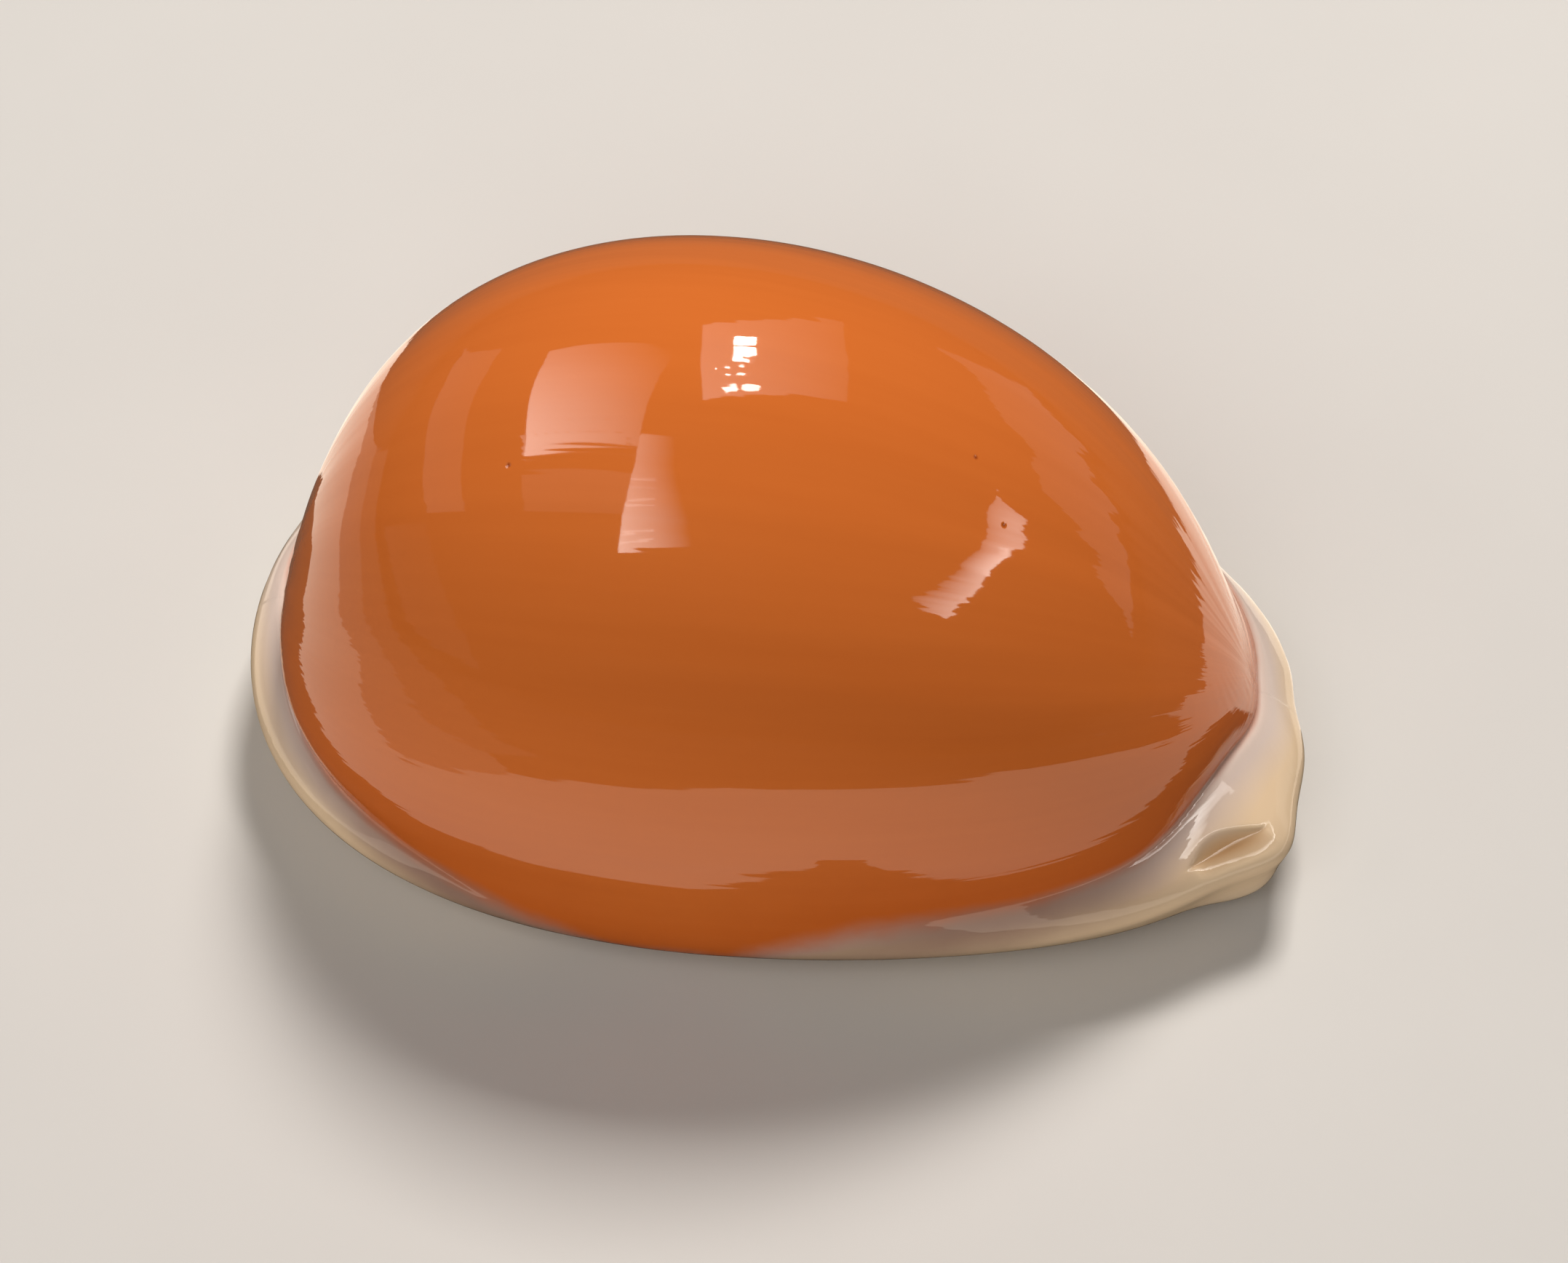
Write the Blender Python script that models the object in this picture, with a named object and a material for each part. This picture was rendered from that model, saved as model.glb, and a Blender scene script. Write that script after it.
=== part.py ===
"""Golden cowrie: one hollow shell with a domed back, a flat base and a long toothed opening.

+X is the front (anterior) end, -Y the outer lip side, +Z the domed back. The shell rests on two flat
patches of its base at z = 0, and the origin is the middle of its box at that height. Sizes are in
millimetres until the last step, which turns them into metres.
"""

import math

import bmesh
import bpy
import numpy as np

MM = 0.001

# Driving sizes of the outside
HALF_LENGTH = 41.3
HALF_WIDTH = 30.7
HEIGHT = 51.2
WAIST_HEIGHT = 14.3
WAIST_SOFTNESS = 0.39
BASE_TRIM = 0.9
BASE_BLEND = 1.2

# How the dome departs from an even egg
LEAN_BACK = 4.9
LEAN_STRAIGHT = 1.0
FRONT_NARROWING = 0.054
PLAN_SQUARENESS = 0.045
DOME_SQUARENESS = 0.075
BELLY_SQUARENESS = 0.037

# Callus rim that stands out round the foot of the dome
RIM_HEIGHT = 8.2
RIM_RISE = 4.75
RIM_FALL = 10.0
RIM_UNDERFILL = 0.6
RIM_UNDERFILL_HEIGHT = 3.0
RIM_UPPER_SHARPNESS = 2.4
RIM_UPPER_SHARPNESS_BACK = 1.2
RIM_LOWER_SHARPNESS = 3.5
RIM_TOP = 0.6
RIM_BASE_FADE = (0.25, 0.75)
RIM_SIDE = 0.44
RIM_BACK = 5.5
RIM_BACK_TURN = 3.11
RIM_BACK_SPREAD = 0.89
RIM_FRONT = 8.2
RIM_FRONT_TURN = -0.21
RIM_FRONT_SPREAD = 0.65
RIM_FRONT_LIFT = 0.9
BEAK = 1.9
BEAK_TURN = -0.36
BEAK_SPREAD = 0.10
LOBE = 0.9
LOBE_TURN = 0.365
LOBE_SPREAD = 0.22
RECESS = 0.65
RECESS_TURN = 0.03
RECESS_SPREAD = 0.10

# Opening along the base
SLIT_HALF_LENGTH = 36.0
SLIT_MIDDLE_X = 0.5
SLIT_HALF_WIDTH_BACK = 2.1
SLIT_HALF_WIDTH_FRONT = 3.0
SLIT_SIDE_SHIFT = -2.0
SLIT_BACK_CURVE = 0.0022
SLIT_FRONT_CURVE = 0.0010
SLIT_CURVE_START = 8.0
SLIT_END_SQUARENESS = 10
LIP_OUTSIDE = 4.5
LIP_INSIDE = 1.5
LIP_DEPTH = 5.0
CANAL_TOP = 10.4
CANAL_MOUTH = 6.8
CANAL_HALF_WIDTH = 4.2
CANAL_SOFTNESS = 0.7
CANAL_REACH = 8.0
CANAL_DROP_LENGTH = 9.0
CANAL_PAST_SLIT = 2.0
CANAL_SUNK_DEPTH = 6.0
CANAL_LEFT_OUT_BELOW = -2.0
CANAL_GAP_LIMIT = 30.0

# Teeth: grooves between them are sunk into both lips
TOOTH_GROOVE = 0.9
LABRAL_TEETH = 26
COLUMELLAR_TEETH = 23
TEETH_FADE_IN = (0.02, 0.07)
TEETH_FADE_OUT = (0.93, 0.98)
LIP_GROOVE_FADE = (0.0, 0.5)
THROAT_GROOVE_FADE = (0.1, 0.9)

# Inside
DOME_WALL = 2.6
SIDE_WALL = 3.8
END_WALL = 4.6
FLOOR_HEIGHT = 5.5
COLUMELLA_HEIGHT = 4.0
COLUMELLA_OFFSET = 10.0
COLUMELLA_SPREAD = 4.5
COLUMELLA_FADE = (8.0, 30.0)

# Middle of the outside's box, which the origin is moved to
BOX_MIDDLE_X = 0.76
BOX_MIDDLE_Y = 0.01

# Facets
AROUND_LIPS = 208
AROUND_DOME = 104
AROUND_INSIDE = 52
CREST_HALF = 0.35
END_CROWDING = 0.2
DOME_SHARES = np.linspace(0.0, 1.0, 11)
BASE_SHARES = np.linspace(0.94, 0.52, 8)
LIP_SIDE_SHARES = (0.44, 0.36, 0.24, 0.12, 0.0)
LIP_ANGLES = np.radians([20.0, 42.0, 66.0, 90.0])
THROAT_ANGLES = np.radians([38.0, 90.0])
FLOOR_SHARES = (0.25, 0.6, 1.0)
VAULT_SHARES = np.linspace(0.85, 0.0, 8)
TINY = 1e-9

# Search for the places of the base under the opening's outline
SEARCH_STEPS = 40
SEARCH_START = 1.5
SEARCH_PACE = 0.5
SEARCH_LIMIT = 0.9

# Enamel
ENAMEL_COLOUR = (0.55, 0.16, 0.03, 1.0)
ENAMEL_ROUGHNESS = 0.12


def smooth_step(value, low, high):
    """0 below low, 1 above high, and an even S curve between them."""
    share = np.clip((value - low) / (high - low), 0.0, 1.0)
    return share * share * (3.0 - 2.0 * share)


def turn_bump(turn, middle, spread):
    """A bell of height 1 round the shell's upright axis, centred on one turn angle."""
    away = np.angle(np.exp(1j * (turn - middle)))
    return np.exp(-((away / spread) ** 2))


def height_profile(zz, top):
    """Height above the untrimmed base for a place on the unit ball, from 0 at -1 to top at +1."""
    bend = np.sqrt(zz**2 + WAIST_SOFTNESS**2) - WAIST_SOFTNESS
    full_bend = math.hypot(1.0, WAIST_SOFTNESS) - WAIST_SOFTNESS
    return WAIST_HEIGHT + top / 2.0 * zz + (top / 2.0 - WAIST_HEIGHT) * bend / full_bend


def lean(height, top):
    """How far a level of the dome leans towards the back end."""
    share = height / top
    return LEAN_BACK * share**2 + LEAN_STRAIGHT * share


def rim_reach(turn):
    """How far the callus rim stands out at each turn angle."""
    back = turn_bump(turn, RIM_BACK_TURN, RIM_BACK_SPREAD)
    front = turn_bump(turn, RIM_FRONT_TURN, RIM_FRONT_SPREAD)
    reach = RIM_SIDE + (RIM_BACK - RIM_SIDE) * back + (RIM_FRONT - RIM_SIDE) * front
    reach = reach + BEAK * turn_bump(turn, BEAK_TURN, BEAK_SPREAD)
    reach = reach + LOBE * turn_bump(turn, LOBE_TURN, LOBE_SPREAD)
    return reach - RECESS * turn_bump(turn, RECESS_TURN, RECESS_SPREAD), back, front


def on_ball(across, along, upper):
    """Places on the unit ball above or below places on the unit disc."""
    radius = np.maximum(np.hypot(across, along), TINY)
    angle = radius * math.pi / 2.0
    ring = np.sin(angle) / radius
    height = np.cos(angle)
    return across * ring, along * ring, height if upper else -height


def outside(xx, yy, zz):
    """The outer surface over a place on the unit ball."""
    top = HEIGHT + BASE_TRIM
    turn = np.arctan2(yy, xx)
    height = height_profile(zz, top)
    belt = 4.0 * (1.0 - zz**2) * zz**2
    square = 1.0 + PLAN_SQUARENESS * 4.0 * xx**2 * yy**2
    belly = np.where(zz > 0.0, 0.0, BELLY_SQUARENESS) * belt
    dome = np.where(zz > 0.0, DOME_SQUARENESS, BELLY_SQUARENESS) * belt
    x = HALF_LENGTH * xx * (square + belly) - lean(height, top)
    y = HALF_WIDTH * yy * (1.0 - FRONT_NARROWING * xx) * (square + dome)
    reach, back, front = rim_reach(turn)
    off_rim = height - RIM_HEIGHT - RIM_FRONT_LIFT * front
    sharpness = RIM_UPPER_SHARPNESS + RIM_UPPER_SHARPNESS_BACK * back
    upper_edge = np.exp(-(np.abs(off_rim) / RIM_RISE) ** sharpness)
    lower_edge = np.exp(-(np.abs(off_rim) / RIM_FALL) ** RIM_LOWER_SHARPNESS)
    blend = np.where(off_rim > 0.0, upper_edge, lower_edge)
    fill = np.exp(-(((height - RIM_UNDERFILL_HEIGHT) / RIM_UNDERFILL_HEIGHT) ** 2))
    blend = blend * (1.0 + RIM_UNDERFILL * fill)
    from_middle = smooth_step(np.hypot(xx, yy), *RIM_BASE_FADE)
    blend = blend * np.where(zz < 0.0, from_middle, np.where(zz < RIM_TOP, 1.0, 0.0))
    normal_x = np.cos(turn) / HALF_LENGTH
    normal_y = np.sin(turn) / HALF_WIDTH
    length = np.hypot(normal_x, normal_y)
    x = x + reach * blend * normal_x / length
    y = y + reach * blend * normal_y / length
    above = height - BASE_TRIM
    eased = above**2 / (2.0 * BASE_BLEND)
    z = np.where(above < 0.0, 0.0, np.where(above < BASE_BLEND, eased, above - BASE_BLEND / 2.0))
    return x, y, z


def inside(xx, yy, zz):
    """The inner surface over a place on the unit ball."""
    top = HEIGHT + BASE_TRIM
    level = height_profile(zz, top)
    z = FLOOR_HEIGHT + (HEIGHT - DOME_WALL - FLOOR_HEIGHT) * level / top
    square = 1.0 + DOME_SQUARENESS * 4.0 * (1.0 - zz**2) * zz**2
    x = (HALF_LENGTH - END_WALL) * xx - lean(level, top)
    y = (HALF_WIDTH - SIDE_WALL) * yy * (1.0 - FRONT_NARROWING * xx) * square
    fold = np.exp(-(((y - slit_middle(x) - COLUMELLA_OFFSET) / COLUMELLA_SPREAD) ** 2))
    fold = fold * np.where(zz < 0.0, 1.0 - smooth_step(np.abs(x), *COLUMELLA_FADE), 0.0)
    return x, y, z + COLUMELLA_HEIGHT * fold


def slit_middle(x):
    """The opening's middle line: nearly straight, turning to the inner lip side at the back."""
    past = x - SLIT_CURVE_START
    return SLIT_SIDE_SHIFT + np.where(past < 0.0, SLIT_BACK_CURVE, SLIT_FRONT_CURVE) * past**2


def slit_loop(count, outward):
    """The opening's outline, moved outward by some millimetres, one place per sample."""
    share = np.arange(count) / count
    along = np.where(share < 0.5, 1.0 - 4.0 * share, 4.0 * share - 3.0)
    side = np.where(share < 0.5, 1.0, -1.0)
    x = SLIT_MIDDLE_X + (SLIT_HALF_LENGTH + outward) * along
    front_share = (along + 1.0) / 2.0
    half_width = SLIT_HALF_WIDTH_BACK + (SLIT_HALF_WIDTH_FRONT - SLIT_HALF_WIDTH_BACK) * front_share
    rounding = np.sqrt(np.clip(1.0 - np.abs(along) ** SLIT_END_SQUARENESS, 0.0, 1.0))
    y = slit_middle(x) + side * (half_width + outward) * rounding
    return x, y


def to_disc(x, y, surface, half_length, half_width):
    """The place on the unit disc whose point of the lower surface lies over x, y, found in steps."""
    across = x / (SEARCH_START * half_length)
    along = y / (SEARCH_START * half_width)
    for _ in range(SEARCH_STEPS):
        near_x, near_y, _ = surface(*on_ball(across, along, False))
        across = across + SEARCH_PACE * (x - near_x) / half_length
        across = np.clip(across, -SEARCH_LIMIT, SEARCH_LIMIT)
        along = along + SEARCH_PACE * (y - near_y) / half_width
    return across, along


def circle_loop(count):
    """The edge of the unit disc, one place per sample, closer together at both ends."""
    even = 2.0 * math.pi * np.arange(count) / count
    turn = even - END_CROWDING * np.sin(2.0 * even)
    return np.cos(turn), np.sin(turn)


def canal(x, y):
    """Height of the ceiling of the channels that lead from the opening out through both ends."""
    off = (y - slit_middle(x)) / CANAL_HALF_WIDTH
    past = np.abs(x - SLIT_MIDDLE_X) - SLIT_HALF_LENGTH
    ends = smooth_step(past, -CANAL_REACH, CANAL_PAST_SLIT)
    top = CANAL_TOP - (CANAL_TOP - CANAL_MOUTH) * smooth_step(past, 0.0, CANAL_DROP_LENGTH)
    return top * (1.0 - off**2) * ends - CANAL_SUNK_DEPTH * (1.0 - ends)


def lift_over_canal(x, y, z):
    """Raise the base to the channels' ceiling, with a soft edge."""
    ceiling = canal(x, y)
    gap = np.clip((z - ceiling) / CANAL_SOFTNESS, -CANAL_GAP_LIMIT, CANAL_GAP_LIMIT)
    lifted = ceiling + CANAL_SOFTNESS * np.log1p(np.exp(gap))
    return np.where(ceiling < CANAL_LEFT_OUT_BELOW, z, lifted)


def tooth_groove(count):
    """Depth of the grooves between the teeth, one value per sample round the opening."""
    share = np.arange(count) / count
    inner_lip = share < 0.5
    along = np.where(inner_lip, share * 2.0, (share - 0.5) * 2.0)
    teeth = np.where(inner_lip, COLUMELLAR_TEETH, LABRAL_TEETH)
    wave = 0.5 - 0.5 * np.cos(2.0 * math.pi * teeth * along)
    fade = smooth_step(along, *TEETH_FADE_IN) * (1.0 - smooth_step(along, *TEETH_FADE_OUT))
    return TOOTH_GROOVE * (1.0 - wave) * fade, np.where(inner_lip, 1.0, -1.0)


def dome_ring(count, share):
    """A ring of the dome, from its crest line (0) to its waist (1)."""
    edge_x, edge_y = circle_loop(count)
    across = edge_x * (CREST_HALF + (1.0 - CREST_HALF) * share)
    return np.stack(outside(*on_ball(across, edge_y * share, True)), axis=-1)


def base_ring(count, share):
    """A ring of the lower side and base, from the start of the lips (0) to the waist (1)."""
    edge_x, edge_y = circle_loop(count)
    start_x, start_y = to_disc(*slit_loop(count, LIP_OUTSIDE), outside, HALF_LENGTH, HALF_WIDTH)
    across = start_x + (edge_x - start_x) * share
    along = start_y + (edge_y - start_y) * share
    x, y, z = outside(*on_ball(across, along, False))
    return np.stack([x, y, lift_over_canal(x, y, z)], axis=-1)


def floor_ring(count, share):
    """A ring of the inner floor, from the inner side of the lips (0) to the inner waist (1)."""
    edge_x, edge_y = circle_loop(count)
    half_length = HALF_LENGTH - END_WALL
    half_width = HALF_WIDTH - SIDE_WALL
    start_x, start_y = to_disc(*slit_loop(count, LIP_INSIDE), inside, half_length, half_width)
    across = start_x + (edge_x - start_x) * share
    along = start_y + (edge_y - start_y) * share
    return np.stack(inside(*on_ball(across, along, False)), axis=-1)


def vault_ring(count, share):
    """A ring of the inner dome, from its crest line (0) to its waist (1)."""
    edge_x, edge_y = circle_loop(count)
    across = edge_x * (CREST_HALF + (1.0 - CREST_HALF) * share)
    return np.stack(inside(*on_ball(across, edge_y * share, True)), axis=-1)


def lip_edge(count):
    """The narrowest line of the opening, where the outer side of the lips turns into the inner one."""
    start = base_ring(count, 0.0)
    finish = floor_ring(count, 0.0)
    x, y = slit_loop(count, 0.0)
    z = np.minimum(start[:, 2] + LIP_DEPTH, (start[:, 2] + finish[:, 2]) / 2.0)
    return np.stack([x, y, z], axis=-1)


def lip_ring(count, angle):
    """A ring of the lips' outer rounding, from the base (0) to the narrowest line (90 degrees)."""
    start = base_ring(count, 0.0)
    edge = lip_edge(count)
    ring = np.empty_like(start)
    ring[:, :2] = start[:, :2] + (edge[:, :2] - start[:, :2]) * math.sin(angle)
    ring[:, 2] = start[:, 2] + (edge[:, 2] - start[:, 2]) * (1.0 - math.cos(angle))
    depth, side = tooth_groove(count)
    depth = depth * float(smooth_step(np.array(angle), *LIP_GROOVE_FADE))
    ring[:, 1] += side * depth * math.sin(angle)
    ring[:, 2] += depth * math.cos(angle)
    return ring


def throat_ring(count, angle):
    """A ring of the lips' inner rounding, from the narrowest line (0) to the inner floor (90 degrees)."""
    edge = lip_edge(count)
    finish = floor_ring(count, 0.0)
    ring = np.empty_like(edge)
    ring[:, :2] = edge[:, :2] + (finish[:, :2] - edge[:, :2]) * (1.0 - math.cos(angle))
    ring[:, 2] = edge[:, 2] + (finish[:, 2] - edge[:, 2]) * math.sin(angle)
    depth, side = tooth_groove(count)
    ring[:, 1] += side * depth * (1.0 - float(smooth_step(np.array(angle), *THROAT_GROOVE_FADE)))
    return ring


def shell_rings():
    """All rings in order, from the dome's crest down, round the lips and up to the inner crest."""
    rings = [dome_ring(AROUND_DOME, share) for share in DOME_SHARES]
    rings += [base_ring(AROUND_DOME, share) for share in BASE_SHARES]
    rings += [base_ring(AROUND_LIPS, share) for share in LIP_SIDE_SHARES]
    rings += [lip_ring(AROUND_LIPS, angle) for angle in LIP_ANGLES]
    rings += [throat_ring(AROUND_DOME, angle) for angle in THROAT_ANGLES]
    rings += [floor_ring(AROUND_INSIDE, share) for share in FLOOR_SHARES]
    rings += [vault_ring(AROUND_INSIDE, share) for share in VAULT_SHARES]
    return rings


def add_band(bm, upper, lower):
    """Faces between two rings of the same count, or where one has twice the places of the other."""
    few, many = (upper, lower) if len(upper) <= len(lower) else (lower, upper)
    ratio = len(many) // len(few)
    flip = few is lower
    for index, corner in enumerate(few):
        after = few[(index + 1) % len(few)]
        span = [many[(index * ratio + step) % len(many)] for step in range(ratio + 1)]
        if ratio == 1:
            faces = [[corner, span[0], span[1], after]]
        else:
            faces = [[corner, span[0], span[1]], [corner, span[1], after], [after, span[1], span[2]]]
        for face in faces:
            add_face(bm, face[::-1] if flip else face)


def add_face(bm, corners):
    """A face through the corners, leaving out corners that fall together."""
    distinct = [corner for place, corner in enumerate(corners) if corner not in corners[:place]]
    if len(distinct) > 2:
        bm.faces.new(distinct)


def ring_vertices(bm, ring, folded):
    """Vertices of a ring; a folded ring is a line, whose two halves share their vertices."""
    count = len(ring)
    if not folded:
        return [bm.verts.new(place) for place in ring]
    half = [bm.verts.new(place) for place in ring[: count // 2 + 1]]
    return half + half[-2:0:-1]


def merge_flat_patches(bm):
    """Make one face of each flat patch that the shell rests on."""
    flat = [face for face in bm.faces if all(abs(vertex.co.z) < TINY for vertex in face.verts)]
    bmesh.ops.dissolve_faces(bm, faces=flat, use_verts=True)


def shell_mesh():
    """The closed mesh of the whole shell, in metres."""
    bm = bmesh.new()
    shift = np.array([BOX_MIDDLE_X, BOX_MIDDLE_Y, 0.0])
    rings = [(ring - shift) * MM for ring in shell_rings()]
    last = len(rings) - 1
    loops = [ring_vertices(bm, ring, place in (0, last)) for place, ring in enumerate(rings)]
    for upper, lower in zip(loops, loops[1:]):
        add_band(bm, upper, lower)
    bmesh.ops.recalc_face_normals(bm, faces=bm.faces)
    merge_flat_patches(bm)
    mesh = bpy.data.meshes.new("cowrie_shell")
    bm.to_mesh(mesh)
    bm.free()
    return mesh


def shell_material():
    """Glossy orange enamel."""
    material = bpy.data.materials.new("shell_enamel")
    material.use_nodes = True
    shader = material.node_tree.nodes["Principled BSDF"]
    shader.inputs["Base Color"].default_value = ENAMEL_COLOUR
    shader.inputs["Roughness"].default_value = ENAMEL_ROUGHNESS
    shader.inputs["Metallic"].default_value = 0.0
    return material


def main():
    """Build the shell in an empty scene."""
    for thing in list(bpy.data.objects):
        bpy.data.objects.remove(thing, do_unlink=True)
    collection = bpy.data.collections.new("golden_cowrie")
    bpy.context.scene.collection.children.link(collection)
    shell = bpy.data.objects.new("cowrie_shell", shell_mesh())
    shell.data.materials.append(shell_material())
    shell.data.shade_smooth()
    collection.objects.link(shell)


main()
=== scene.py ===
"""Golden cowrie: the finished look of one glossy orange shell on a pale floor in soft studio light.

The form repeats the construction's own formulas in millimetres: +X is the front (anterior) end, -Y the
outer lip side and +Z the domed back. On top of them come the fuller foot of the dome, the callus crease,
the dimple of the front rim, the faint ripples of growth and a finish that follows the places of the shell.

Round the shell stand glowing shapes that only its gloss shows. They give the large reflections.
"""

import logging
import math
from dataclasses import dataclass, field
from enum import Enum

import bpy
import numpy as np
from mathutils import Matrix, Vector

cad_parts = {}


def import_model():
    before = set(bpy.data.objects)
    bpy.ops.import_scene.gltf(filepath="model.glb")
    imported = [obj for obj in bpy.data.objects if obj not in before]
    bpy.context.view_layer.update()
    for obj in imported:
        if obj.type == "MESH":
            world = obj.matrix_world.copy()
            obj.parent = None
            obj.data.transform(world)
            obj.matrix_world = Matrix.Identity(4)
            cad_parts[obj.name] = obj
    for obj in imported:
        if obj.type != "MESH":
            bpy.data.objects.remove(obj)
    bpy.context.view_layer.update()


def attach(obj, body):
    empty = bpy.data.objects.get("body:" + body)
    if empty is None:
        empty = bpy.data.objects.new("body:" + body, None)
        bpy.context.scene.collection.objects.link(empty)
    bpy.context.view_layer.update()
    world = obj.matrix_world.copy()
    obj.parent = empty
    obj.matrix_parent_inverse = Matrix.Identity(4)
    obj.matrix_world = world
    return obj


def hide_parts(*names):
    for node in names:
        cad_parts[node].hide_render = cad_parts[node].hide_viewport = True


LOG = logging.getLogger("golden_cowrie")
MM = 0.001
NODE = "cowrie_shell"
TINY = 1e-9

Array = np.ndarray
Colour = tuple[float, float, float]
Place = tuple[float, float, float]
Outline = tuple[tuple[float, float], ...]
Flat = tuple[Array, Array]
Solid = tuple[Array, Array, Array]


def smooth_step(value: Array, low: float, high: float) -> Array:
    """An even S curve, 0 up to low and 1 from high."""
    share = np.clip((value - low) / (high - low), 0.0, 1.0)
    return share * share * (3.0 - 2.0 * share)


def bell(value: Array, middle: float, spread: float) -> Array:
    """1 at the middle, falling evenly to 0 on both sides."""
    return np.exp(-(((value - middle) / spread) ** 2))


@dataclass(frozen=True)
class TurnBell:
    """A smooth bump round the shell's upright axis."""

    size: float
    turn: float
    spread: float
    spread_after: float | None = None

    def shape(self, turn: Array) -> Array:
        """The bell without its size.

        Args:
            turn: Angles round the upright axis, 0 at the front end.

        Returns:
            1 at the bell's middle, falling to 0.
        """
        away = np.angle(np.exp(1j * (turn - self.turn)))
        after = self.spread if self.spread_after is None else self.spread_after
        return np.exp(-((away / np.where(away > 0.0, after, self.spread)) ** 2))

    def at(self, turn: Array) -> Array:
        """The bell's height at each turn angle."""
        return self.size * self.shape(turn)


class Region(Enum):
    """The stretches of the shell's wall, in the order in which its rings run."""

    DOME = "dome"
    BASE = "base"
    LIP = "lip"
    THROAT = "throat"
    FLOOR = "floor"
    VAULT = "vault"


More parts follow.
